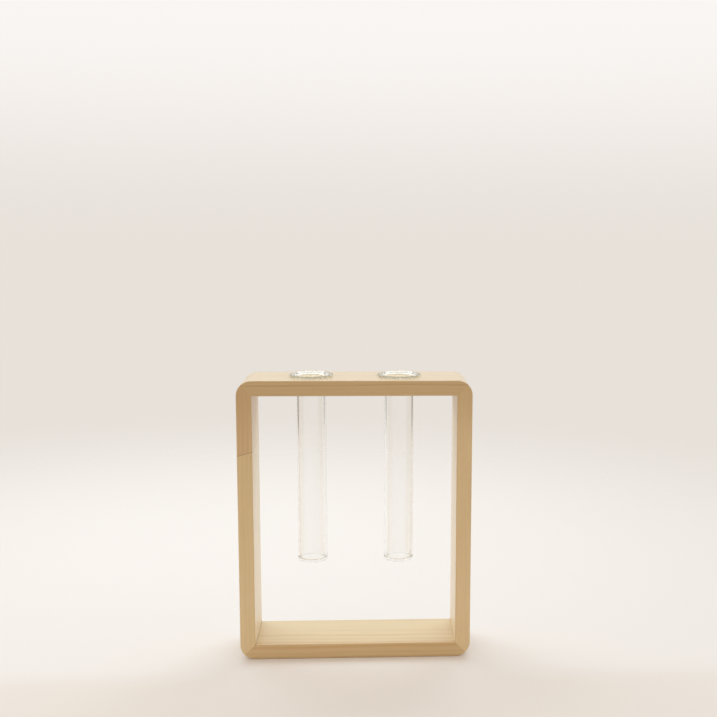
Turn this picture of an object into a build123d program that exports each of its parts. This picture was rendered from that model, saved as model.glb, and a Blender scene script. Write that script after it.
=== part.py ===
from build123d import *
import os
from math import cos, radians, sin, sqrt

# Test tube vase: a glued wooden frame that stands on a table, with two flared glass tubes
# hanging through its top rail.
# Millimetres. The origin is on the table, under the middle of the frame. +X runs to the right
# as the vase is seen from the front, +Y to the back and +Z up.

# The frame: outside sizes, and the board that its four sides are cut from
FRAME_WIDTH = 155.0
FRAME_HEIGHT = 190.0
FRAME_DEPTH = 42.0
BOARD_THICKNESS = 10.2
CORNER_RADIUS = 10.0
EDGE_EASING = 0.8

# The loose tongue glued across each mitre, out of sight
TONGUE_THICKNESS = 2.5
TONGUE_WIDTH = 8.0
TONGUE_LENGTH = 32.0
TONGUE_SETBACK = 4.0
TONGUE_CLEARANCE = 0.05

# The slanted glued joint in the left stile, and the two dowels inside it. The upper length is
# measured down the frame's outer side, and the joint rises by its slant towards the inner side
STILE_UPPER_LENGTH = 50.1
STILE_JOINT_RISE = 2.8
DOWEL_DIAMETER = 4.0
DOWEL_LENGTH = 24.0
DOWEL_SPACING = 22.0
DOWEL_CHAMFER = 0.5
DOWEL_CLEARANCE = 0.05
DOWEL_END_GAP = 0.5

# The two holes through the top rail
TUBE_SPACING = 59.0
HOLE_CLEARANCE = 0.6
HOLE_TOP_EASING = 1.0
HOLE_BOTTOM_EASING = 0.5

# The glass tubes: a straight wall, a thin flat base and a rim that flares like a shallow cone
TUBE_DIAMETER = 20.0
TUBE_WALL = 1.2
TUBE_LENGTH = 128.5
BASE_THICKNESS = 1.6
BASE_CORNER_RADIUS = 0.9
INSIDE_CORNER_RADIUS = 1.2
RIM_OVERHANG = 4.6
RIM_THICKNESS = 1.1
RIM_SLOPE_DEGREES = 18.0
RIM_SEAT_WIDTH = 1.2
NECK_RADIUS = 1.2
THROAT_RADIUS = 2.6
LIP_RADIUS = 0.5

# How far a cutter runs past the wood that it cuts
CUT_OVERRUN = 1.0

# Places that follow from the sizes above
SIDE_X = FRAME_WIDTH / 2
INNER_SIDE_X = SIDE_X - BOARD_THICKNESS
RAIL_UNDERSIDE_Z = FRAME_HEIGHT - BOARD_THICKNESS
CUTTER_DEPTH = FRAME_DEPTH / 2 + CUT_OVERRUN
STILE_JOINT_OUTER_Z = FRAME_HEIGHT - STILE_UPPER_LENGTH
STILE_JOINT_INNER_Z = STILE_JOINT_OUTER_Z + STILE_JOINT_RISE
TUBE_RADIUS = TUBE_DIAMETER / 2
BORE_RADIUS = TUBE_RADIUS - TUBE_WALL
RIM_RADIUS = TUBE_RADIUS + RIM_OVERHANG
HOLE_RADIUS = TUBE_RADIUS + HOLE_CLEARANCE

# The frame's corners: which way each one lies from the middle of the frame
CORNER_SIDES = {
    "top_left": (-1, 1),
    "top_right": (1, 1),
    "bottom_left": (-1, -1),
    "bottom_right": (1, -1),
}


def front_shape(points):
    """A closed shape drawn on the front view, as (x, z) points."""
    return Plane.XZ * make_face(Polyline(*points, close=True))


def frame_ring():
    """The whole frame as it is after gluing, rounding and sanding."""
    middle = Pos(0, FRAME_HEIGHT / 2)
    outside = middle * RectangleRounded(FRAME_WIDTH, FRAME_HEIGHT, CORNER_RADIUS)
    window = middle * Rectangle(2 * INNER_SIDE_X, RAIL_UNDERSIDE_Z - BOARD_THICKNESS)
    ring = extrude(Plane.XZ * (outside - window), FRAME_DEPTH / 2, both=True)
    faces = ring.faces().filter_by(Axis.Y)
    return fillet(faces.edges(), EDGE_EASING)


def mitred_side(ring, outer_from, outer_to, inner_to, inner_from):
    """The stretch of the ring between two mitres, each of them a line from corner to corner."""
    wedge = front_shape([outer_from, outer_to, inner_to, inner_from])
    return ring & extrude(wedge, CUTTER_DEPTH, both=True)


def corner_block(corner, thickness, width, length):
    """A block that lies square across a mitre, with its middle on the mitre."""
    side_x, side_z = CORNER_SIDES[corner]
    setback = TONGUE_SETBACK / sqrt(2)
    inner_z = FRAME_HEIGHT / 2 + side_z * (RAIL_UNDERSIDE_Z - FRAME_HEIGHT / 2)
    place = Pos(side_x * (INNER_SIDE_X + setback), 0, inner_z + side_z * setback)
    turn = Rot(0, -side_x * side_z * 45, 0)
    return place * turn * Box(thickness, length, width)


def tongue(corner):
    """The loose tongue that stiffens one mitre."""
    return corner_block(corner, TONGUE_THICKNESS, TONGUE_WIDTH, TONGUE_LENGTH)


def tongue_slot(corner):
    """The slot for a tongue, with room for glue all round."""
    room = 2 * TONGUE_CLEARANCE
    return corner_block(corner, TONGUE_THICKNESS + room, TONGUE_WIDTH + room, TONGUE_LENGTH + room)


def slotted(board, *corners):
    """A board with the tongue slots at its two ends."""
    for corner in corners:
        board -= tongue_slot(corner)
    return board


def tube_places():
    """The vertical axes of the left and the right tube, at the height where their rims sit."""
    return [Pos(side * TUBE_SPACING / 2, 0, FRAME_HEIGHT) for side in (-1, 1)]


def eased_mouths(rail, height, easing):
    """The rail with the edges of its round holes eased on one of its faces."""
    mouths = rail.edges().filter_by(GeomType.CIRCLE).filter_by(Plane.XY)
    return fillet(mouths.filter_by_position(Axis.Z, height, height), easing)


def top_rail(ring):
    """The rail that carries the tubes, with its two holes."""
    rail = mitred_side(
        ring,
        (-SIDE_X, FRAME_HEIGHT),
        (SIDE_X, FRAME_HEIGHT),
        (INNER_SIDE_X, RAIL_UNDERSIDE_Z),
        (-INNER_SIDE_X, RAIL_UNDERSIDE_Z),
    )
    rail = slotted(rail, "top_left", "top_right")
    cutter_height = 2 * (BOARD_THICKNESS + CUT_OVERRUN)
    for place in tube_places():
        rail -= place * Cylinder(HOLE_RADIUS, cutter_height)
    rail = eased_mouths(rail, FRAME_HEIGHT, HOLE_TOP_EASING)
    return eased_mouths(rail, RAIL_UNDERSIDE_Z, HOLE_BOTTOM_EASING)


def bottom_rail(ring):
    """The rail that the vase stands on."""
    rail = mitred_side(
        ring,
        (-SIDE_X, 0),
        (SIDE_X, 0),
        (INNER_SIDE_X, BOARD_THICKNESS),
        (-INNER_SIDE_X, BOARD_THICKNESS),
    )
    return slotted(rail, "bottom_left", "bottom_right")


def stile(ring, side):
    """A whole upright side of the frame: side is -1 for the left one, 1 for the right one."""
    board = mitred_side(
        ring,
        (side * SIDE_X, 0),
        (side * SIDE_X, FRAME_HEIGHT),
        (side * INNER_SIDE_X, RAIL_UNDERSIDE_Z),
        (side * INNER_SIDE_X, BOARD_THICKNESS),
    )
    name = "left" if side < 0 else "right"
    return slotted(board, "top_" + name, "bottom_" + name)


def above_stile_joint():
    """Everything above the slanted joint in the left stile."""
    overrun_rise = CUT_OVERRUN * STILE_JOINT_RISE / BOARD_THICKNESS
    outer_x = -SIDE_X - CUT_OVERRUN
    inner_x = -INNER_SIDE_X + CUT_OVERRUN
    top_z = FRAME_HEIGHT + CUT_OVERRUN
    shape = front_shape([
        (outer_x, STILE_JOINT_OUTER_Z - overrun_rise),
        (inner_x, STILE_JOINT_INNER_Z + overrun_rise),
        (inner_x, top_z),
        (outer_x, top_z),
    ])
    return extrude(shape, CUTTER_DEPTH, both=True)


def dowel_places():
    """The middles of the front and the back dowel, on the slanted joint."""
    x = -(SIDE_X + INNER_SIDE_X) / 2
    z = (STILE_JOINT_OUTER_Z + STILE_JOINT_INNER_Z) / 2
    return [Pos(x, side * DOWEL_SPACING / 2, z) for side in (-1, 1)]


def dowel(place):
    """A short beech dowel with chamfered ends."""
    pin = Cylinder(DOWEL_DIAMETER / 2, DOWEL_LENGTH)
    return place * chamfer(pin.edges().filter_by(GeomType.CIRCLE), DOWEL_CHAMFER)


def left_stile_pieces(ring):
    """The left stile in its two lengths, drilled for the dowels."""
    board = stile(ring, -1)
    drilled_length = DOWEL_LENGTH + 2 * DOWEL_END_GAP
    for place in dowel_places():
        board -= place * Cylinder(DOWEL_DIAMETER / 2 + DOWEL_CLEARANCE, drilled_length)
    above = above_stile_joint()
    return board & above, board - above


def tube_section():
    """Half the tube's section, as (radius, height), with height 0 where the rim sits on the rail."""
    slope = radians(RIM_SLOPE_DEGREES)
    out, up = cos(slope), sin(slope)
    seat_end = TUBE_RADIUS + NECK_RADIUS + RIM_SEAT_WIDTH

    # The flare runs along (out, up), and (-up, out) points across its glass
    lip_low_x = RIM_RADIUS + LIP_RADIUS * (out + up - 1)
    lip_low_z = (lip_low_x - seat_end) * up / out
    lip_high_x = lip_low_x - RIM_THICKNESS * up
    lip_high_z = lip_low_z + RIM_THICKNESS * out
    throat_z = lip_high_z - (lip_high_x - BORE_RADIUS) * up / out
    rim_top_z = lip_high_z - LIP_RADIUS * (out + up - 1)
    bottom_z = rim_top_z - TUBE_LENGTH
    inside_bottom_z = bottom_z + BASE_THICKNESS

    # Each corner of the section, and the radius that rounds it
    corners = [
        ((0, bottom_z), 0),
        ((TUBE_RADIUS, bottom_z), BASE_CORNER_RADIUS),
        ((TUBE_RADIUS, 0), NECK_RADIUS),
        ((seat_end, 0), NECK_RADIUS),
        ((lip_low_x, lip_low_z), LIP_RADIUS),
        ((lip_high_x, lip_high_z), LIP_RADIUS),
        ((BORE_RADIUS, throat_z), THROAT_RADIUS),
        ((BORE_RADIUS, inside_bottom_z), INSIDE_CORNER_RADIUS),
        ((0, inside_bottom_z), 0),
    ]
    points = [point for point, _ in corners]
    radii = [radius for _, radius in corners]
    return Plane.XZ * make_face(FilletPolyline(*points, radius=radii, close=True))


def glass_tube(place):
    """One tube, hanging by its rim."""
    return place * revolve(tube_section(), Axis.Z)


def sub_parts():
    """Every piece of the vase, by its name."""
    ring = frame_ring()
    left_stile_upper, left_stile_lower = left_stile_pieces(ring)
    pieces = {
        "top_rail": top_rail(ring),
        "bottom_rail": bottom_rail(ring),
        "left_stile_upper": left_stile_upper,
        "left_stile_lower": left_stile_lower,
        "right_stile": stile(ring, 1),
    }
    for corner in CORNER_SIDES:
        pieces[corner + "_tongue"] = tongue(corner)
    for name, place in zip(("front", "back"), dowel_places()):
        pieces["stile_dowel_" + name] = dowel(place)
    for name, place in zip(("left", "right"), tube_places()):
        pieces[name + "_tube"] = glass_tube(place)
    return pieces


os.makedirs("parts", exist_ok=True)
for node, piece in sub_parts().items():
    export_step(piece, f"parts/{node}.step")
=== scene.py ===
"""Test tube vase: two flared glass tubes hanging in a glued pine frame, on a plain pale stage.

Everything is in metres, in the part's own frame: the origin on the table under the middle of
the frame, +X to the right, +Y to the back and +Z up.
"""

from math import atan2, cos, pi, radians, sin, tan

import bpy
from mathutils import Matrix, Vector


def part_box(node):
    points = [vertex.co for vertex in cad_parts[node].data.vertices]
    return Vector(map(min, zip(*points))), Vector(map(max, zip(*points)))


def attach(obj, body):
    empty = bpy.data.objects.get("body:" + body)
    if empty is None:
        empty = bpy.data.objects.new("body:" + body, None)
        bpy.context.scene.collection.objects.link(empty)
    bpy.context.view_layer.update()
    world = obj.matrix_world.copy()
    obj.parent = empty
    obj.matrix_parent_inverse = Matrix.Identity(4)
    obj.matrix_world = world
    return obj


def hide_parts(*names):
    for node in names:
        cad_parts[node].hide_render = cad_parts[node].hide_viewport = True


MM = 0.001

# The photograph's frame, and the camera that took it, with its angles in radians
IMAGE_SIZE = 717
SENSOR_WIDTH = 36.0
CAMERA_PLACE = (0.0094, -0.6764, 0.2927)
CAMERA_YAW = 0.0469
CAMERA_PITCH = 0.1334
CAMERA_ROLL = 0.0046
FOCAL_LENGTH_PIXELS = 1014.5
OPTICAL_AXIS_X_PIXELS = 416.3
NEAREST_SEEN = 0.01
FARTHEST_SEEN = 50.0

# The glass tubes, turned on a lathe from the same sizes as the model's
TUBE_RADIUS = 10 * MM
TUBE_WALL = 1.2 * MM
BASE_THICKNESS = 1.6 * MM
BASE_CORNER_RADIUS = 0.9 * MM
INSIDE_CORNER_RADIUS = 1.2 * MM
RIM_RADIUS = 14.6 * MM
RIM_THICKNESS = 1.1 * MM
RIM_SLOPE = radians(18)
RIM_SEAT_WIDTH = 1.2 * MM
NECK_RADIUS = 1.2 * MM
THROAT_RADIUS = 2.6 * MM
LIP_RADIUS = 0.5 * MM
SEAT_RADIUS = TUBE_RADIUS + NECK_RADIUS + RIM_SEAT_WIDTH
TURNS_AROUND = 160
ARC_STEP = radians(9)
ON_AXIS = 1e-9

# The frame, as far as the finish needs it
BOARD_THICKNESS = 10.2 * MM
STILE_JOINT_DROP = 50.1 * MM
STILE_JOINT_RISE = 2.8 * MM
TUBE_SPACING = 59 * MM

# The grain, in millimetres in a log whose pith runs along X. A pace says how fast a pattern changes
# along each axis, and a pair is where something starts to show and where it is full, or gone.
WANDER_PACE = (0.007, 0.03, 0.03)
WANDER_REACH = 4.5
LATE_WOOD_STARTS = (0.35, 0.9)
LATE_WOOD_ENDS = (0.93, 1.0)
FAINTEST_YEAR = 0.25
FIBRE_PACE = (0.03, 2.2, 2.2)
FIBRE_DETAIL = 4.0
FIBRE_HARSHNESS = 0.6
CANAL_PACE = (0.22, 3.4, 3.4)
CANAL_DETAIL = 1.0
CANALS_SHOW = (0.71, 0.78)
CLOUD_PACE = (0.008, 0.08, 0.08)
CLOUDS_SHOW = (0.35, 0.7)
CLOUD_WARMTH = 0.5
WARM_RINGS_GROW = 7.0

# What the grain does to the wood's shade, its gloss and its surface
FIBRES_SHADE = (0.25, 0.75)
FIBRE_SHADES = (0.93, 1.05)
CANAL_DARKNESS = 0.12
WOOD_ROUGHNESS = 0.31
LATE_WOOD_POLISH = 0.06
FIBRES_ROUGHEN = (0.2, 0.8)
FIBRE_ROUGHNESS = (-0.05, 0.05)
FIBRE_HEIGHT = 0.6
LATE_WOOD_HEIGHT = 0.4
CANAL_DEPTH = 0.5
WOOD_SHEEN = 0.45
WOOD_SHEEN_ROUGHNESS = 0.4
PINE_BUMP = 0.5
PINE_BUMP_HEIGHT = 0.04 * MM
BEECH_BUMP = 0.4
BEECH_BUMP_HEIGHT = 0.03 * MM

# Where the marks and the painted shade on the frame lie: each is full at the first distance and gone at
# the second
MITRE_LINE = (0.05 * MM, 0.35 * MM)
STILE_JOINT_LINE = (0.05 * MM, 0.3 * MM)
CORNER_LINE = (0.3 * MM, 1.0 * MM)
EASED_EDGE = (0.2 * MM, 1.2 * MM)
# Painted shade along the frame's foot, darkest at the floor
FOOT_SHADE_HEIGHTS = (0.3 * MM, 2.6 * MM)
SHADED_END = (8 * MM, 40 * MM)
# Painted warm shade in the lower inside corners
CORNER_SHADE_REACH = (2.0 * MM, 16.0 * MM)
CORNER_SHADE_SETBACK = 0.4 * MM
BARE_HOLE_RADIUS = TUBE_RADIUS + 1.1 * MM
# A faint ring of painted shadow round each rim on the rail's top
RIM_SHADOW_STARTS = (SEAT_RADIUS - 0.5 * MM, SEAT_RADIUS)
RIM_SHADOW_ENDS = (RIM_RADIUS + 0.2 * MM, RIM_RADIUS + 1.2 * MM)
TOP_SKIN = 0.1 * MM

# The marks and the painted shade, in the order in which they lie over the wood, each with its colour
# and its way of mixing
# A pale painted highlight along the eased edges
EDGE_HIGHLIGHT = "#e2c9a0"
# Painted shade, along the frame's foot and in a faint ring round each rim
PAINTED_SHADE_WOOD = "#b3926a"
GLUE = "#7a5935"
# The holes' bare walls, painted paler still to stand in for light there
BARE_AND_LIT_WOOD = "#f6edd8"
# Painted warm shade for the lower inside corners
CORNER_SHADE_TINT = "#fff6da"
END_SHADE = "#efe9df"
MARKS = {
    "Edge Highlight": (EDGE_HIGHLIGHT, "MIX"),
    "Mitre": (GLUE, "MIX"),
    "Stile Joint": (GLUE, "MIX"),
    "Corner": (GLUE, "MIX"),
    "Foot Shade": (PAINTED_SHADE_WOOD, "MIX"),
    "Top End": (END_SHADE, "MULTIPLY"),
    "Bottom End": (END_SHADE, "MULTIPLY"),
    "Corner Shade": (CORNER_SHADE_TINT, "MULTIPLY"),
    "Bore": (BARE_AND_LIT_WOOD, "MIX"),
    "Rim Shadow": (PAINTED_SHADE_WOOD, "MIX"),
}

# How strongly the marks and the painted shade that every board has show
COMMON_MARKS = {"Edge Highlight": 0.35, "Foot Shade": 0.35, "Bore": 1.0, "Rim Shadow": 0.4}

# Each board's place in its tree, in millimetres: how it is turned and how far it lies from the pith.
# Then its rings, how far from the pith they turn warm, its tones, and how strongly its own marks show.
ALONG_X = (0.0, 0.0, 0.0)
ALONG_Z = (0.0, radians(90), 0.0)
BEYOND_THE_BARK = 1000.0
BOARDS = {
    "top_rail": {
        "turn": ALONG_X,
        "from_pith": (0.0, 75.0, -255.0),
        "ring_width": 2.3,
        "warm_from": BEYOND_THE_BARK,
        "early": "#e1caa1",
        "late": "#c6a172",
        "warmth": "#dbc196",
        "lines": 0.5,
        "marks": {},
    },
    "bottom_rail": {
        "turn": ALONG_X,
        "from_pith": (300.0, -12.0, 30.0),
        "ring_width": 3.2,
        "warm_from": 44.3,
        "early": "#e2cea6",
        "late": "#c89a60",
        "warmth": "#dcc195",
        "lines": 0.36,
        "marks": {"Mitre": 0.1, "Corner": 0.25},
    },
    "left_stile_upper": {
        "turn": ALONG_Z,
        "from_pith": (100.0, 80.0, 195.0),
        "ring_width": 2.9,
        "warm_from": BEYOND_THE_BARK,
        "early": "#e6cda6",
        "late": "#d3ab81",
        "warmth": "#e2c29a",
        "lines": 0.18,
        "marks": {"Stile Joint": 0.6, "Top End": 0.5},
    },
    "left_stile_lower": {
        "turn": ALONG_Z,
        "from_pith": (-50.0, 90.0, 170.0),
        "ring_width": 2.7,
        "warm_from": BEYOND_THE_BARK,
        "early": "#eedab2",
        "late": "#dbbb8f",
        "warmth": "#ebd3a8",
        "lines": 0.16,
        "marks": {
            "Mitre": 0.1,
            "Stile Joint": 0.6,
            "Corner": 0.25,
            "Bottom End": 0.25,
            "Corner Shade": 1.0,
        },
    },
    "right_stile": {
        "turn": ALONG_Z,
        "from_pith": (240.0, 85.0, -120.0),
        "ring_width": 2.5,
        "warm_from": BEYOND_THE_BARK,
        "early": "#efdab3",
        "late": "#dbbb8f",
        "warmth": "#ebd4aa",
        "lines": 0.16,
        "marks": {"Mitre": 0.1, "Top End": 0.8, "Bottom End": 0.2, "Corner Shade": 1.0},
    },
}
BEECH = {
    "turn": ALONG_X,
    "from_pith": (0.0, 30.0, 25.0),
    "ring_width": 1.6,
    "warm_from": BEYOND_THE_BARK,
    "early": "#d9b48c",
    "late": "#b98a62",
    "warmth": "#cfa37a",
    "lines": 0.5,
}

# The glass's finish. Its ripples run up the tube, at this many to the metre along each axis.
RIPPLE_PACE = (180.0, 180.0, 14.0)
RIPPLE_BUMP = 0.05
RIPPLE_HEIGHT = 0.02 * MM
SMEAR_SCALE = 55.0
SMEAR_DETAIL = 4.0
SMEARS_SHOW = (0.45, 0.75)
SMEAR_ROUGHNESS = 0.01
GLASS_INDEX = 1.5
GLASS_GLOSS = (0.95, 0.98, 1.0, 1.0)
GLASS_SHADOW = (0.96, 0.97, 0.96, 1.0)
CLEAR_GLASS = "#ffffff"
RIPPLED_GLASS = "#fdfdfc"

# Painted reflection lines on the glass where it is seen edge on, by how far it is below the rail's top,
# or above it on the rim
LOW_EDGE = "#eef4fa"
NECK_EDGE = "#8a949e"
RIM_EDGE = "#85836c"
LOW_EDGE_ENDS = 105 * MM
NECK_EDGE_STARTS = 40 * MM
RIM_EDGE_STARTS = 0.4 * MM
EVEN_BLEND = 0.5
EDGES_SHOW = (0.62, 1.0)
EDGE_TINT = 0.4
# A thin painted shade line in the glass where the rim's underside leaves the wood
RIM_CONTACT_SHADE = "#8b8570"
RIM_CONTACT_SHADE_STRENGTH = 0.75
UNDER_RIM_RADII = (SEAT_RADIUS, SEAT_RADIUS + 0.3 * MM)
UNDER_RIM_HEIGHTS = (0.55 * MM, 0.85 * MM)

# Painted glow that the glass gives off: some for light that is followed no further, and a painted pool
# of light in the holes
NO_LIGHT = "#000000"
LOST_LIGHT = "#66624f"
PAINTED_HOLE_GLOW = "#6c6558"
REFLECTIONS_FOLLOWED = 3.5
HOLE_LIGHT_STARTS = (0.2 * MM, 1.2 * MM)
HOLE_LIGHT_ENDS = (4.0 * MM, 9.0 * MM)

# The floor of white paper. Its middle lies to the vase's left, and it fades out from there.
PAPER = "#f0ecec"
PAPER_TOOTH = "#eeeaea"
PAPER_SHINE = "#f8f6f3"
PAPER_GLOW = 0.12
PAPER_GLOSS = 0.1
PAPER_MIDDLE = -0.12
TOOTH_SCALE = 900.0
FADE_START = 0.1
FADE_END = 0.9
FLOOR_SIDES = 96

# How far to the front the paper takes a painted shadow, warmer and darker, and turns dim, and how far
# to the side of the vase's foot the painted shadow starts later
SHADOWED_PAPER = "#eae3df"
PAPER_SHADOW_FROM = (-0.03, -0.066)
DIM_PAPER = "#a8957f"
DIM_FROM = (-0.16, -0.42)
FOOT_SIDES = (0.06, 0.11)
FOOT_HEAD_START = 0.016

# What the paper, the cards and the glass share
MATT = 0.9
MOST_NOISE = (0.3, 0.7)

# Dark cards out of the picture, which only the glass sees
CARD_TONES = ("#343436", "#3e3e40")
CARD_INNER = (0.385, 0.44)
CARD_INNER_TOP = (0.345, 0.47)
CARD_OUTER = (0.5, 0.29)
CARD_HEIGHT = 0.1
CARD_FADE = 0.045
CARD_NAP_SCALE = 700.0
SURFACES_CROSSED = 2.5

# The lamp
KEY_PLACE = (-0.09, 0.76, 1.14)
KEY_TARGET = (0.0, 0.0, 0.05)
KEY_WIDTH = 2.0
KEY_HEIGHT = 0.9
KEY_POWER = 12.1
KEY_COLOUR = "#e8f9ff"

# The room, by direction: the eye sees the backdrop, and soft light comes from the walls and the table
BACKDROP_LOW = "#e7e1da"
BACKDROP_HIGH = "#faf6f3"
BACKDROP_RISES = (-0.03, 0.2)
ROOM_IN_FRONT = "#d4bfa3"
ROOM_BEHIND = "#ebeae9"
TABLE_IN_FRONT = "#9a8a76"
TABLE_BEHIND = "#f0ece8"
FRONT_TO_BACK = (-0.7, 0.7)
HORIZON = (-0.05, 0.05)

FLOAT = "NodeSocketFloat"
COLOUR = "NodeSocketColor"
VECTOR = "NodeSocketVector"


class Graph:
    """A node tree, with short ways to add nodes and join them."""

    def __init__(self, tree):
        self.tree = tree

    def add(self, kind, inputs=None, **settings):
        """A new node. Each input is a plain value or another node's output."""
        node = self.tree.nodes.new(kind)
        for name, value in settings.items():
            setattr(node, name, value)
        for name, value in (inputs or {}).items():
            self.put(node.inputs[name], value)
        return node

    def put(self, socket, value):
        """Set a socket, or join another node's output to it."""
        if isinstance(value, bpy.types.NodeSocket):
            self.tree.links.new(value, socket)
        else:
            socket.default_value = value

    def math(self, operation, *values):
        """A number worked out from others."""
        node = self.add("ShaderNodeMath", operation=operation)
        for socket, value in zip(node.inputs, values):
            self.put(socket, value)
        return node.outputs[0]

    def vector(self, operation, *values, scale=None):
        """A vector worked out from others, or the length of one."""
        node = self.add("ShaderNodeVectorMath", operation=operation)
        for socket, value in zip(node.inputs, values):
            self.put(socket, value)
        if scale is not None:
            self.put(node.inputs["Scale"], scale)
        return node.outputs["Value" if operation == "LENGTH" else "Vector"]

    def split(self, vector):
        """The three parts of a vector."""
        return self.add("ShaderNodeSeparateXYZ", {"Vector": vector}).outputs

    def length(self, x, y, z):
        """The length of a vector, from its three parts."""
        joined = self.add("ShaderNodeCombineXYZ", {"X": x, "Y": y, "Z": z}).outputs[0]
        return self.vector("LENGTH", joined)

    def ramp(self, value, low, high, to_low=0.0, to_high=1.0, smooth=True):
        """A value moved from one range into another, held at the ends."""
        node = self.add(
            "ShaderNodeMapRange",
            {"Value": value, "From Min": low, "From Max": high, "To Min": to_low, "To Max": to_high},
            interpolation_type="SMOOTHSTEP" if smooth else "LINEAR",
        )
        return node.outputs["Result"]

    def fade(self, value, full, gone):
        """1 up to one value, and 0 from another."""
        return self.ramp(value, full, gone, 1.0, 0.0)

    def noise(self, vector, scale=1.0, detail=2.0, roughness=0.5):
        """Even noise between 0 and 1, by position."""
        node = self.add(
            "ShaderNodeTexNoise",
            {"Vector": vector, "Scale": scale, "Detail": detail, "Roughness": roughness},
        )
        return node.outputs["Fac"]

    def mix(self, factor, first, second, blend="MIX"):
        """Two colours mixed."""
        node = self.add("ShaderNodeMix", data_type="RGBA", blend_type=blend)
        for name, value in (("Factor_Float", factor), ("A_Color", first), ("B_Color", second)):
            socket = next(s for s in node.inputs if s.identifier == name)
            self.put(socket, value)
        return next(s for s in node.outputs if s.identifier == "Result_Color")

    def mix_shaders(self, factor, first, second):
        """Two shaders mixed."""
        node = self.add("ShaderNodeMixShader")
        for socket, value in zip(node.inputs, (factor, first, second)):
            self.put(socket, value)
        return node.outputs["Shader"]


def colour(hex_code):
    """A colour written as it looks on a screen, as the linear light that Blender mixes."""
    levels = [int(hex_code[i : i + 2], 16) / 255 for i in (1, 3, 5)]
    linear = [v / 12.92 if v <= 0.04045 else ((v + 0.055) / 1.055) ** 2.4 for v in levels]
    return (*linear, 1.0)


def new_group(name, inputs, outputs):
    """An empty node group. Returns its graph, its input sockets and its output node's sockets."""
    tree = bpy.data.node_groups.new(name, "ShaderNodeTree")
    for socket_name, kind in inputs.items():
        tree.interface.new_socket(socket_name, in_out="INPUT", socket_type=kind)
    for socket_name, kind in outputs.items():
        tree.interface.new_socket(socket_name, in_out="OUTPUT", socket_type=kind)
    graph = Graph(tree)
    given = graph.add("NodeGroupInput").outputs
    result = graph.add("NodeGroupOutput").inputs
    return graph, given, result


def use_group(graph, tree, inputs):
    """A group placed in a material, with its own values."""
    node = graph.add("ShaderNodeGroup", node_tree=tree)
    for name, value in inputs.items():
        graph.put(node.inputs[name], value)
    return node.outputs


def new_material(name):
    """A material with a Principled shader. Returns it, its graph and the shader."""
    material = bpy.data.materials.new(name)
    material.use_nodes = True
    material.node_tree.nodes.clear()
    graph = Graph(material.node_tree)
    shader = graph.add("ShaderNodeBsdfPrincipled")
    graph.add("ShaderNodeOutputMaterial")
    show(graph, shader.outputs["BSDF"])
    return material, graph, shader


def show(graph, shader):
    """Put a shader on the material's surface."""
    output = next(node for node in graph.tree.nodes if node.type == "OUTPUT_MATERIAL")
    graph.put(output.inputs["Surface"], shader)


def emboss(graph, shader, height, strength, distance):
    """Raise a material's surface by a height."""
    bump = graph.add("ShaderNodeBump", {"Height": height, "Strength": strength, "Distance": distance})
    graph.put(shader.inputs["Normal"], bump.outputs["Normal"])


def late_wood(graph, place, from_pith, given):
    """How dark the growth rings are. They wander a little, and each is as strong as its year."""
    wander = graph.noise(graph.vector("MULTIPLY", place, WANDER_PACE))
    wander = graph.math("MULTIPLY", graph.math("SUBTRACT", wander, 0.5), WANDER_REACH)
    rings = graph.math("DIVIDE", graph.math("ADD", from_pith, wander), given["Ring Width"])
    year = graph.math("FLOOR", rings)
    season = graph.math("FRACT", rings)
    growth = graph.add("ShaderNodeTexWhiteNoise", {"W": year}, noise_dimensions="1D").outputs["Value"]
    rise = graph.ramp(season, *LATE_WOOD_STARTS)
    fall = graph.fade(season, *LATE_WOOD_ENDS)
    late = graph.math("MULTIPLY", rise, fall)
    late = graph.math("MULTIPLY", late, graph.ramp(growth, 0.0, 1.0, FAINTEST_YEAR, 1.0))
    return graph.math("MULTIPLY", late, given["Line Strength"])


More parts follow.
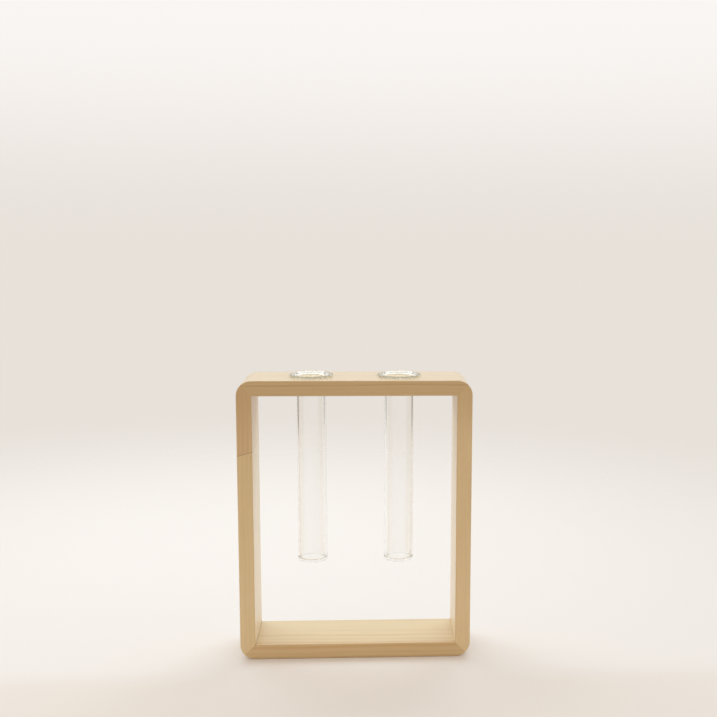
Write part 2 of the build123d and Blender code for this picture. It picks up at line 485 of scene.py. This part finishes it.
def build_grain():
    """Wood seen from any side: growth rings round a pith that runs along X, in millimetres."""
    graph, given, result = new_group(
        "pine_grain",
        {
            "Position": VECTOR,
            "Ring Width": FLOAT,
            "Early Wood": COLOUR,
            "Late Wood": COLOUR,
            "Line Strength": FLOAT,
            "Warmth": COLOUR,
            "Warm From": FLOAT,
        },
        {"Colour": COLOUR, "Roughness": FLOAT, "Height": FLOAT},
    )
    place = given["Position"]
    _, across, depth = graph.split(place)
    from_pith = graph.length(0.0, across, depth)
    late = late_wood(graph, place, from_pith, given)

    # Fibres are long and fine, resin canals are short dark dashes
    fibre = graph.noise(
        graph.vector("MULTIPLY", place, FIBRE_PACE), detail=FIBRE_DETAIL, roughness=FIBRE_HARSHNESS
    )
    canal = graph.noise(graph.vector("MULTIPLY", place, CANAL_PACE), detail=CANAL_DETAIL)
    canal = graph.ramp(canal, *CANALS_SHOW)

    # Warmer wood lies in soft clouds, and in the rings far enough from the pith
    cloud = graph.noise(graph.vector("MULTIPLY", place, CLOUD_PACE))
    warm_clouds = graph.ramp(cloud, *CLOUDS_SHOW, 0.0, CLOUD_WARMTH)
    past_start = graph.math("SUBTRACT", from_pith, given["Warm From"])
    warm_rings = graph.ramp(past_start, 0.0, WARM_RINGS_GROW)
    warm = graph.math("MAXIMUM", warm_clouds, warm_rings)
    wood = graph.mix(warm, given["Early Wood"], given["Warmth"])
    wood = graph.mix(late, wood, given["Late Wood"])
    shade = graph.ramp(fibre, *FIBRES_SHADE, *FIBRE_SHADES, smooth=False)
    canal_shade = graph.math("SUBTRACT", 1.0, graph.math("MULTIPLY", canal, CANAL_DARKNESS))
    shade = graph.math("MULTIPLY", shade, canal_shade)
    graph.put(result["Colour"], graph.vector("SCALE", wood, scale=shade))

    rough = graph.math("SUBTRACT", WOOD_ROUGHNESS, graph.math("MULTIPLY", late, LATE_WOOD_POLISH))
    fibre_rough = graph.ramp(fibre, *FIBRES_ROUGHEN, *FIBRE_ROUGHNESS, smooth=False)
    graph.put(result["Roughness"], graph.math("ADD", rough, fibre_rough))
    fibre_height = graph.math("MULTIPLY", fibre, FIBRE_HEIGHT)
    height = graph.math("ADD", fibre_height, graph.math("MULTIPLY", late, LATE_WOOD_HEIGHT))
    height = graph.math("SUBTRACT", height, graph.math("MULTIPLY", canal, CANAL_DEPTH))
    graph.put(result["Height"], height)
    return graph.tree


def frame_insets(graph, place, low, high):
    """How far a point is from the frame's sides, from its top and bottom, and from its faces."""
    x, y, z = place
    half_width = (high.x - low.x) / 2
    half_depth = (high.y - low.y) / 2
    half_height = (high.z - low.z) / 2
    off_middle = graph.math("ABSOLUTE", graph.math("SUBTRACT", z, half_height))
    from_side = graph.math("SUBTRACT", half_width, graph.math("ABSOLUTE", x))
    from_end = graph.math("SUBTRACT", half_height, off_middle)
    from_face = graph.math("SUBTRACT", half_depth, graph.math("ABSOLUTE", y))
    return from_side, from_end, from_face


def from_tube_axis(graph, x, y):
    """How far a point is from the axis of the tube on its side."""
    off_axis = graph.math("SUBTRACT", graph.math("ABSOLUTE", x), TUBE_SPACING / 2)
    return graph.length(off_axis, y, 0.0)


def glue_masks(graph, place, insets, low, high):
    """The glue lines that show."""
    x, _, z = place
    from_side, from_end, _ = insets

    # A mitre runs where a point is as far from the side as from the top or bottom
    off_mitre = graph.math("ABSOLUTE", graph.math("SUBTRACT", from_side, from_end))

    # The slanted joint rises from the left stile's outer side to its inner side
    rise = graph.math("MULTIPLY", from_side, STILE_JOINT_RISE / BOARD_THICKNESS)
    joint_z = graph.math("ADD", high.z - STILE_JOINT_DROP, rise)
    off_joint = graph.math("ABSOLUTE", graph.math("SUBTRACT", z, joint_z))
    on_left = graph.math("LESS_THAN", x, 0.0)

    # A line of glue shows along the lower left inside corner
    from_corner = graph.length(
        graph.math("SUBTRACT", x, low.x + BOARD_THICKNESS),
        0.0,
        graph.math("SUBTRACT", z, BOARD_THICKNESS),
    )
    return {
        "Mitre": graph.fade(off_mitre, *MITRE_LINE),
        "Stile Joint": graph.math("MULTIPLY", graph.fade(off_joint, *STILE_JOINT_LINE), on_left),
        "Corner": graph.fade(from_corner, *CORNER_LINE),
    }


def edge_and_shade_masks(graph, place, insets, high):
    """The eased edges with their painted highlight, the painted warm shade in the lower inside corners,
    the painted shade along the foot and the painted shade at the stiles' ends.
    """
    _, _, z = place
    from_side, from_end, from_face = insets

    # An edge, which carries a painted pale highlight, is near a flat face and near the outside or the
    # window
    from_outside = graph.math("MINIMUM", from_side, from_end)
    from_window = graph.math("SUBTRACT", BOARD_THICKNESS, from_outside)
    in_ring = graph.math("MINIMUM", from_outside, from_window)
    from_edge = graph.math("MAXIMUM", from_face, in_ring)

    # Painted warm shade lies in the lower inside corners, behind the front's edge
    into_window = graph.math("SUBTRACT", from_side, BOARD_THICKNESS)
    above_rail = graph.math("SUBTRACT", z, BOARD_THICKNESS)
    off_corner = graph.length(into_window, above_rail, 0.0)
    behind_edge = graph.math("GREATER_THAN", from_face, CORNER_SHADE_SETBACK)
    full, gone = SHADED_END
    return {
        "Edge Highlight": graph.fade(from_edge, *EASED_EDGE),
        "Corner Shade": graph.math("MULTIPLY", graph.fade(off_corner, *CORNER_SHADE_REACH), behind_edge),
        "Foot Shade": graph.fade(z, *FOOT_SHADE_HEIGHTS),
        "Top End": graph.ramp(z, high.z - gone, high.z - full),
        "Bottom End": graph.fade(z, full, gone),
    }


def hole_masks(graph, place, high):
    """The holes' bare, unoiled walls, painted paler still to stand in for light there, and a faint ring
    of painted shadow round each rim on the top.
    """
    x, y, z = place
    from_axis = from_tube_axis(graph, x, y)
    in_hole = graph.math("LESS_THAN", from_axis, BARE_HOLE_RADIUS)
    in_rail = graph.math("GREATER_THAN", z, high.z - BOARD_THICKNESS)
    inside = graph.ramp(from_axis, *RIM_SHADOW_STARTS)
    outside = graph.fade(from_axis, *RIM_SHADOW_ENDS)
    on_top = graph.math("GREATER_THAN", z, high.z - TOP_SKIN)
    return {
        "Bore": graph.math("MULTIPLY", in_hole, in_rail),
        "Rim Shadow": graph.math("MULTIPLY", graph.math("MULTIPLY", inside, outside), on_top),
    }


def build_frame_marks_and_shade(low, high):
    """Where the marks and the painted shade on the frame are: masks by position in metres."""
    graph, given, result = new_group(
        "frame_marks_and_shade", {"Position": VECTOR}, {mark: FLOAT for mark in MARKS}
    )
    place = graph.split(given["Position"])
    insets = frame_insets(graph, place, low, high)
    masks = {
        **glue_masks(graph, place, insets, low, high),
        **edge_and_shade_masks(graph, place, insets, high),
        **hole_masks(graph, place, high),
    }
    for mark, mask in masks.items():
        graph.put(result[mark], mask)
    return graph.tree


def cut_from_log(graph, groups, place, board):
    """The grain of a piece of wood, cut from its own place in the tree."""
    in_log = graph.add(
        "ShaderNodeMapping",
        {
            "Vector": place,
            "Scale": (1 / MM, 1 / MM, 1 / MM),
            "Rotation": board["turn"],
            "Location": board["from_pith"],
        },
    ).outputs["Vector"]
    return use_group(
        graph,
        groups["grain"],
        {
            "Position": in_log,
            "Ring Width": board["ring_width"],
            "Early Wood": colour(board["early"]),
            "Late Wood": colour(board["late"]),
            "Line Strength": board["lines"],
            "Warmth": colour(board["warmth"]),
            "Warm From": board["warm_from"],
        },
    )


def pine(name, groups, board):
    """The finish of one board: its grain, with its marks and painted shade laid over it."""
    material, graph, shader = new_material(name)
    place = graph.add("ShaderNodeTexCoord").outputs["Object"]
    grain = cut_from_log(graph, groups, place, board)
    marks_and_shade = use_group(graph, groups["marks_and_shade"], {"Position": place})
    strengths = {**COMMON_MARKS, **board["marks"]}
    wood = grain["Colour"]
    for mark, (tone, blend) in MARKS.items():
        if mark in strengths:
            shows = graph.math("MULTIPLY", marks_and_shade[mark], strengths[mark])
            wood = graph.mix(shows, wood, colour(tone), blend)
    graph.put(shader.inputs["Base Color"], wood)
    graph.put(shader.inputs["Roughness"], grain["Roughness"])
    graph.put(shader.inputs["Sheen Weight"], WOOD_SHEEN)
    graph.put(shader.inputs["Sheen Roughness"], WOOD_SHEEN_ROUGHNESS)
    emboss(graph, shader, grain["Height"], PINE_BUMP, PINE_BUMP_HEIGHT)
    return material


def beech(name, groups):
    """Plain beech for the pieces inside the joints."""
    material, graph, shader = new_material(name)
    place = graph.add("ShaderNodeTexCoord").outputs["Object"]
    grain = cut_from_log(graph, groups, place, BEECH)
    graph.put(shader.inputs["Base Color"], grain["Colour"])
    graph.put(shader.inputs["Roughness"], grain["Roughness"])
    emboss(graph, shader, grain["Height"], BEECH_BUMP, BEECH_BUMP_HEIGHT)
    return material


def paint_edge_lines(graph, tint, place, rail_top):
    """The glass, with painted reflection lines where it is seen edge on: pale low down, grey by the
    neck, olive on the rim.
    """
    z = graph.split(place)["Z"]
    near_neck = graph.ramp(z, rail_top - LOW_EDGE_ENDS, rail_top - NECK_EDGE_STARTS)
    on_rim = graph.ramp(z, rail_top, rail_top + RIM_EDGE_STARTS)
    edge = graph.mix(near_neck, colour(LOW_EDGE), colour(NECK_EDGE))
    edge = graph.mix(on_rim, edge, colour(RIM_EDGE))
    facing = graph.add("ShaderNodeLayerWeight", {"Blend": EVEN_BLEND}).outputs["Facing"]
    return graph.mix(graph.ramp(facing, *EDGES_SHOW, 0.0, EDGE_TINT), tint, edge)


def paint_rim_contact_shade(graph, tint, place, rail_top):
    """The glass, with a thin painted olive shade line where the rim's underside leaves the wood."""
    x, y, z = graph.split(place)
    under_rim = graph.math(
        "MULTIPLY",
        graph.ramp(from_tube_axis(graph, x, y), *UNDER_RIM_RADII),
        graph.fade(graph.math("SUBTRACT", z, rail_top), *UNDER_RIM_HEIGHTS),
    )
    return graph.mix(graph.math("MULTIPLY", under_rim, RIM_CONTACT_SHADE_STRENGTH), tint, colour(RIM_CONTACT_SHADE))


def painted_glass_glow(graph, path, rail_top):
    """A painted glow that the glass gives off."""
    # Where light goes round inside the glass too often to be followed, the glass glows a soft grey
    lost = graph.math("GREATER_THAN", path["Glossy Depth"], REFLECTIONS_FOLLOWED)
    glow = graph.mix(lost, colour(NO_LIGHT), colour(LOST_LIGHT))

    # In the holes the glass glows, a painted stand-in for the light the rim gathers, so the hole's wall
    # looks pale through it
    level = graph.split(graph.add("ShaderNodeNewGeometry").outputs["Position"])["Z"]
    depth = graph.math("SUBTRACT", rail_top, level)
    in_hole = graph.math(
        "MULTIPLY",
        graph.ramp(depth, *HOLE_LIGHT_STARTS),
        graph.fade(depth, *HOLE_LIGHT_ENDS),
    )
    through = graph.math("GREATER_THAN", path["Transmission Depth"], 0.5)
    gathered = graph.math("MULTIPLY", in_hole, through)
    return graph.mix(gathered, glow, colour(PAINTED_HOLE_GLOW), blend="ADD")


def drawn_glass(rail_top):
    """Clear glass, with the faint long ripples of a drawn tube, painted reflection lines at its edges
    and a painted glow. Lamps shine through it.
    """
    material, graph, shader = new_material("drawn_glass")
    place = graph.add("ShaderNodeTexCoord").outputs["Object"]
    ripples = graph.noise(graph.vector("MULTIPLY", place, RIPPLE_PACE))
    emboss(graph, shader, ripples, RIPPLE_BUMP, RIPPLE_HEIGHT)
    smear = graph.noise(place, SMEAR_SCALE, SMEAR_DETAIL)
    graph.put(shader.inputs["Roughness"], graph.ramp(smear, *SMEARS_SHOW, 0.0, SMEAR_ROUGHNESS))
    tint = graph.mix(graph.ramp(ripples, *MOST_NOISE), colour(CLEAR_GLASS), colour(RIPPLED_GLASS))
    tint = paint_edge_lines(graph, tint, place, rail_top)
    tint = paint_rim_contact_shade(graph, tint, place, rail_top)
    graph.put(shader.inputs["Base Color"], tint)
    graph.put(shader.inputs["IOR"], GLASS_INDEX)
    graph.put(shader.inputs["Specular Tint"], GLASS_GLOSS)
    graph.put(shader.inputs["Transmission Weight"], 1.0)
    path = graph.add("ShaderNodeLightPath").outputs
    graph.put(shader.inputs["Emission Color"], painted_glass_glow(graph, path, rail_top))
    graph.put(shader.inputs["Emission Strength"], 1.0)
    clear = graph.add("ShaderNodeBsdfTransparent", {"Color": GLASS_SHADOW}).outputs["BSDF"]
    show(graph, graph.mix_shaders(path["Is Shadow Ray"], shader.outputs["BSDF"], clear))
    return material


def new_piece(name, vertices, faces):
    """A mesh in the scene, from its corners and faces."""
    mesh = bpy.data.meshes.new(name)
    mesh.from_pydata(vertices, [], faces)
    piece = bpy.data.objects.new(name, mesh)
    bpy.context.scene.collection.objects.link(piece)
    return piece


def rounded(before, corner, after, radius):
    """The arc that rounds a corner of an outline, as points along it."""
    before, corner, after = Vector(before), Vector(corner), Vector(after)
    if radius == 0:
        return [corner]
    come, go = (before - corner).normalized(), (after - corner).normalized()
    half_angle = come.angle(go) / 2
    middle = corner + (come + go).normalized() * (radius / sin(half_angle))
    first = corner + come * (radius / tan(half_angle)) - middle
    last = corner + go * (radius / tan(half_angle)) - middle
    start = atan2(first.y, first.x)
    sweep = (atan2(last.y, last.x) - start + pi) % (2 * pi) - pi
    steps = max(2, round(abs(sweep) / ARC_STEP))
    angles = [start + sweep * i / steps for i in range(steps + 1)]
    return [middle + radius * Vector((cos(a), sin(a))) for a in angles]


def tube_outline(rail_top, tube_bottom):
    """Half the tube's section, from the middle of its underside round to the middle of its floor."""
    out, up = cos(RIM_SLOPE), sin(RIM_SLOPE)
    bore_radius = TUBE_RADIUS - TUBE_WALL
    lip_low = Vector((RIM_RADIUS + LIP_RADIUS * (out + up - 1), 0.0))
    lip_low.y = rail_top + (lip_low.x - SEAT_RADIUS) * up / out
    lip_high = lip_low + RIM_THICKNESS * Vector((-up, out))
    throat_z = lip_high.y - (lip_high.x - bore_radius) * up / out
    inside_bottom = tube_bottom + BASE_THICKNESS
    corners = [
        ((0.0, tube_bottom), 0),
        ((TUBE_RADIUS, tube_bottom), BASE_CORNER_RADIUS),
        ((TUBE_RADIUS, rail_top), NECK_RADIUS),
        ((SEAT_RADIUS, rail_top), NECK_RADIUS),
        (lip_low, LIP_RADIUS),
        (lip_high, LIP_RADIUS),
        ((bore_radius, throat_z), THROAT_RADIUS),
        ((bore_radius, inside_bottom), INSIDE_CORNER_RADIUS),
        ((0.0, inside_bottom), 0),
    ]
    points = []
    for i, (corner, radius) in enumerate(corners):
        before = corners[max(i - 1, 0)][0]
        after = corners[min(i + 1, len(corners) - 1)][0]
        points += rounded(before, corner, after, radius)
    return points


def turned_tube(name, middle, outline):
    """A tube turned on a lathe from half its section."""
    vertices, faces, rings = [], [], []
    for radius, z in outline:
        if radius < ON_AXIS:
            rings.append([len(vertices)])
            vertices.append((middle.x, middle.y, z))
            continue
        first = len(vertices)
        rings.append(list(range(first, first + TURNS_AROUND)))
        for i in range(TURNS_AROUND):
            angle = 2 * pi * i / TURNS_AROUND
            vertices.append((middle.x + radius * cos(angle), middle.y + radius * sin(angle), z))
    for lower, upper in zip(rings, rings[1:]):
        for i in range(TURNS_AROUND):
            j = (i + 1) % TURNS_AROUND
            if len(lower) == 1:
                faces.append((lower[0], upper[j], upper[i]))
            elif len(upper) == 1:
                faces.append((lower[i], lower[j], upper[0]))
            else:
                faces.append((lower[i], lower[j], upper[j], upper[i]))
    tube = new_piece(name, vertices, faces)
    tube.data.validate()
    tube.data.polygons.foreach_set("use_smooth", [True] * len(tube.data.polygons))
    tube.data.update()
    return tube


def hang_tubes(glass, rail_top):
    """The two tubes, in place of the plain ones."""
    for side in ("left", "right"):
        low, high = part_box(side + "_tube")
        outline = tube_outline(rail_top, low.z)
        tube = turned_tube(side + "_glass_tube", (low + high) / 2, outline)
        tube.data.materials.append(glass)
        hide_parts(side + "_tube")
        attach(tube, side + "_tube")


def dress(piece, material):
    """One finish in all of a piece's material slots."""
    if not piece.material_slots:
        piece.data.materials.append(material)
    for slot in piece.material_slots:
        slot.link = "OBJECT"
        slot.material = material


def finish_wood(nodes, rail_top):
    """The boards' and the hidden pieces' finishes."""
    low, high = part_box("left_stile_lower")
    frame_low = Vector((low.x, low.y, 0.0))
    frame_high = Vector((-low.x, high.y, rail_top))
    groups = {"grain": build_grain(), "marks_and_shade": build_frame_marks_and_shade(frame_low, frame_high)}
    for node, board in BOARDS.items():
        dress(nodes[node], pine("pine_" + node, groups, board))
    inside = beech("beech_inside_joints", groups)
    for node, piece in nodes.items():
        if node.endswith("_tongue") or node.startswith("stile_dowel"):
            dress(piece, inside)


def sharp_ray(graph):
    """1 for the rays that make a picture of the room: straight, mirrored or through glass."""
    path = graph.add("ShaderNodeLightPath").outputs
    sharp = graph.math("MAXIMUM", path["Is Camera Ray"], path["Is Glossy Ray"])
    return graph.math("MAXIMUM", sharp, path["Is Transmission Ray"])


def paper_tone(graph, place, sharp):
    """The paper's colour, with a painted shadow that makes it warmer and darker in front of the vase,
    and dim further forward for soft light alone.
    """
    across, ahead, _ = graph.split(place)
    tooth = graph.ramp(graph.noise(place, TOOTH_SCALE), *MOST_NOISE)
    tone = graph.mix(tooth, colour(PAPER), colour(PAPER_TOOTH))

    # In front of the vase's foot the painted shadow starts a little sooner than beside it
    off_middle = graph.math("ABSOLUTE", graph.math("ADD", across, PAPER_MIDDLE))
    sooner = graph.math("MULTIPLY", graph.fade(off_middle, *FOOT_SIDES), FOOT_HEAD_START)
    in_front = graph.ramp(graph.math("SUBTRACT", ahead, sooner), *PAPER_SHADOW_FROM)
    tone = graph.mix(in_front, tone, colour(SHADOWED_PAPER))
    soft = graph.math("SUBTRACT", 1.0, sharp)
    dim = graph.math("MULTIPLY", graph.ramp(ahead, *DIM_FROM), soft)
    return graph.mix(dim, tone, colour(DIM_PAPER))


def paper():
    """Matt white paper, which the eye sees fade into the room."""
    material, graph, shader = new_material("stage_paper")
    place = graph.add("ShaderNodeTexCoord").outputs["Object"]
    sharp = sharp_ray(graph)
    graph.put(shader.inputs["Base Color"], paper_tone(graph, place, sharp))
    graph.put(shader.inputs["Roughness"], MATT)
    graph.put(shader.inputs["Specular IOR Level"], PAPER_GLOSS)
    glow = graph.add("ShaderNodeEmission", {"Color": colour(PAPER_SHINE), "Strength": 1.0})
    glowing = graph.math("MULTIPLY", sharp, PAPER_GLOW)
    pale = graph.mix_shaders(glowing, shader.outputs["BSDF"], glow.outputs["Emission"])
    clear = graph.add("ShaderNodeBsdfTransparent").outputs["BSDF"]
    far_out = graph.ramp(graph.vector("LENGTH", place), FADE_START, FADE_END)
    show(graph, graph.mix_shaders(graph.math("MULTIPLY", sharp, far_out), pale, clear))
    return material


def build_floor():
    """A round floor of white paper."""
    angles = [2 * pi * i / FLOOR_SIDES for i in range(FLOOR_SIDES)]
    rim = [(FADE_END * cos(a), FADE_END * sin(a), 0.0) for a in angles]
    floor = new_piece("floor", rim, [range(FLOOR_SIDES)])
    floor.location.x = PAPER_MIDDLE
    floor.data.materials.append(paper())


def dark_card():
    """Dark card, clear at its foot and behind a whole tube."""
    material, graph, shader = new_material("dark_card")
    place = graph.add("ShaderNodeTexCoord").outputs["Object"]
    nap = graph.noise(place, CARD_NAP_SCALE)
    darker, lighter = CARD_TONES
    graph.put(shader.inputs["Base Color"], graph.mix(nap, colour(darker), colour(lighter)))
    graph.put(shader.inputs["Roughness"], MATT)

    # Only light that has gone through no more than one wall meets the card
    crossed = graph.add("ShaderNodeLightPath").outputs["Transmission Depth"]
    behind_tube = graph.math("GREATER_THAN", crossed, SURFACES_CROSSED)
    low = graph.fade(graph.split(place)["Z"], 0.0, CARD_FADE)
    clear = graph.add("ShaderNodeBsdfTransparent").outputs["BSDF"]
    open_part = graph.math("MAXIMUM", behind_tube, low)
    show(graph, graph.mix_shaders(open_part, shader.outputs["BSDF"], clear))
    return material


def build_cards():
    """Dark cards at both sides behind the vase, which draw the edges of the glass."""
    material = dark_card()
    for side, name in ((-1, "left_card"), (1, "right_card")):
        inner = Vector((side * CARD_INNER[0], CARD_INNER[1], 0.0))
        outer = Vector((side * CARD_OUTER[0], CARD_OUTER[1], 0.0))
        outer_top = outer + Vector((0.0, 0.0, CARD_HEIGHT))
        inner_top = Vector((side * CARD_INNER_TOP[0], CARD_INNER_TOP[1], CARD_HEIGHT))
        card = new_piece(name, [inner, outer, outer_top, inner_top], [(0, 1, 2, 3)])
        card.visible_camera = False
        card.visible_diffuse = False
        card.visible_glossy = False
        card.visible_shadow = False
        card.data.materials.append(material)


def hang_lamp():
    """A big soft lamp above and behind, a little to the left."""
    light = bpy.data.lights.new("key", "AREA")
    light.shape = "RECTANGLE"
    light.size = KEY_WIDTH
    light.size_y = KEY_HEIGHT
    light.energy = KEY_POWER
    light.color = colour(KEY_COLOUR)[:3]
    lamp = bpy.data.objects.new("key", light)
    lamp.location = KEY_PLACE
    lamp.rotation_mode = "QUATERNION"
    lamp.rotation_quaternion = (Vector(KEY_TARGET) - Vector(KEY_PLACE)).to_track_quat("-Z", "Y")
    bpy.context.scene.collection.objects.link(lamp)


def light_room():
    """A pale room that is dimmer and warmer behind the camera, and the backdrop that the eye sees."""
    world = bpy.data.worlds.new("room")
    bpy.context.scene.world = world
    world.use_nodes = True
    graph = Graph(world.node_tree)
    background = world.node_tree.nodes["Background"]
    _, ahead, height = graph.split(graph.add("ShaderNodeTexCoord").outputs["Generated"])
    backdrop = graph.mix(
        graph.ramp(height, *BACKDROP_RISES), colour(BACKDROP_LOW), colour(BACKDROP_HIGH)
    )
    at_back = graph.ramp(ahead, *FRONT_TO_BACK)
    walls = graph.mix(at_back, colour(ROOM_IN_FRONT), colour(ROOM_BEHIND))
    table = graph.mix(at_back, colour(TABLE_IN_FRONT), colour(TABLE_BEHIND))
    soft = graph.mix(graph.ramp(height, *HORIZON), table, walls)
    graph.put(background.inputs["Color"], graph.mix(sharp_ray(graph), soft, backdrop))


def aim_camera():
    """The camera, where the photograph was taken from."""
    data = bpy.data.cameras.new("camera")
    data.sensor_width = SENSOR_WIDTH
    data.lens = FOCAL_LENGTH_PIXELS * SENSOR_WIDTH / IMAGE_SIZE
    data.shift_x = 0.5 - OPTICAL_AXIS_X_PIXELS / IMAGE_SIZE
    data.clip_start = NEAREST_SEEN
    data.clip_end = FARTHEST_SEEN
    ahead = Vector(
        (sin(CAMERA_YAW) * cos(CAMERA_PITCH), cos(CAMERA_YAW) * cos(CAMERA_PITCH), -sin(CAMERA_PITCH))
    )
    level = Vector((cos(CAMERA_YAW), -sin(CAMERA_YAW), 0.0))
    above = level.cross(ahead)
    right = cos(CAMERA_ROLL) * level + sin(CAMERA_ROLL) * above
    up = cos(CAMERA_ROLL) * above - sin(CAMERA_ROLL) * level
    turn = Matrix((right, up, -ahead)).transposed()
    camera = bpy.data.objects.new("camera", data)
    camera.matrix_world = Matrix.Translation(CAMERA_PLACE) @ turn.to_4x4()
    bpy.context.scene.collection.objects.link(camera)
    bpy.context.scene.camera = camera


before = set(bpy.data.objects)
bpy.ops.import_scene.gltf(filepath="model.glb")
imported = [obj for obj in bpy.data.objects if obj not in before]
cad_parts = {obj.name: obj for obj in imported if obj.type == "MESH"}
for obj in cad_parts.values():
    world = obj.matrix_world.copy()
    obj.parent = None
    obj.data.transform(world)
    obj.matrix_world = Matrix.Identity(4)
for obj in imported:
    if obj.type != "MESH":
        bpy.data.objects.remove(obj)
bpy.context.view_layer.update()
bpy.context.scene.view_settings.view_transform = "Standard"

aim_camera()
hang_lamp()
light_room()
build_floor()
build_cards()
rail_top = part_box("top_rail")[1].z
finish_wood(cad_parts, rail_top)
hang_tubes(drawn_glass(rail_top), rail_top)
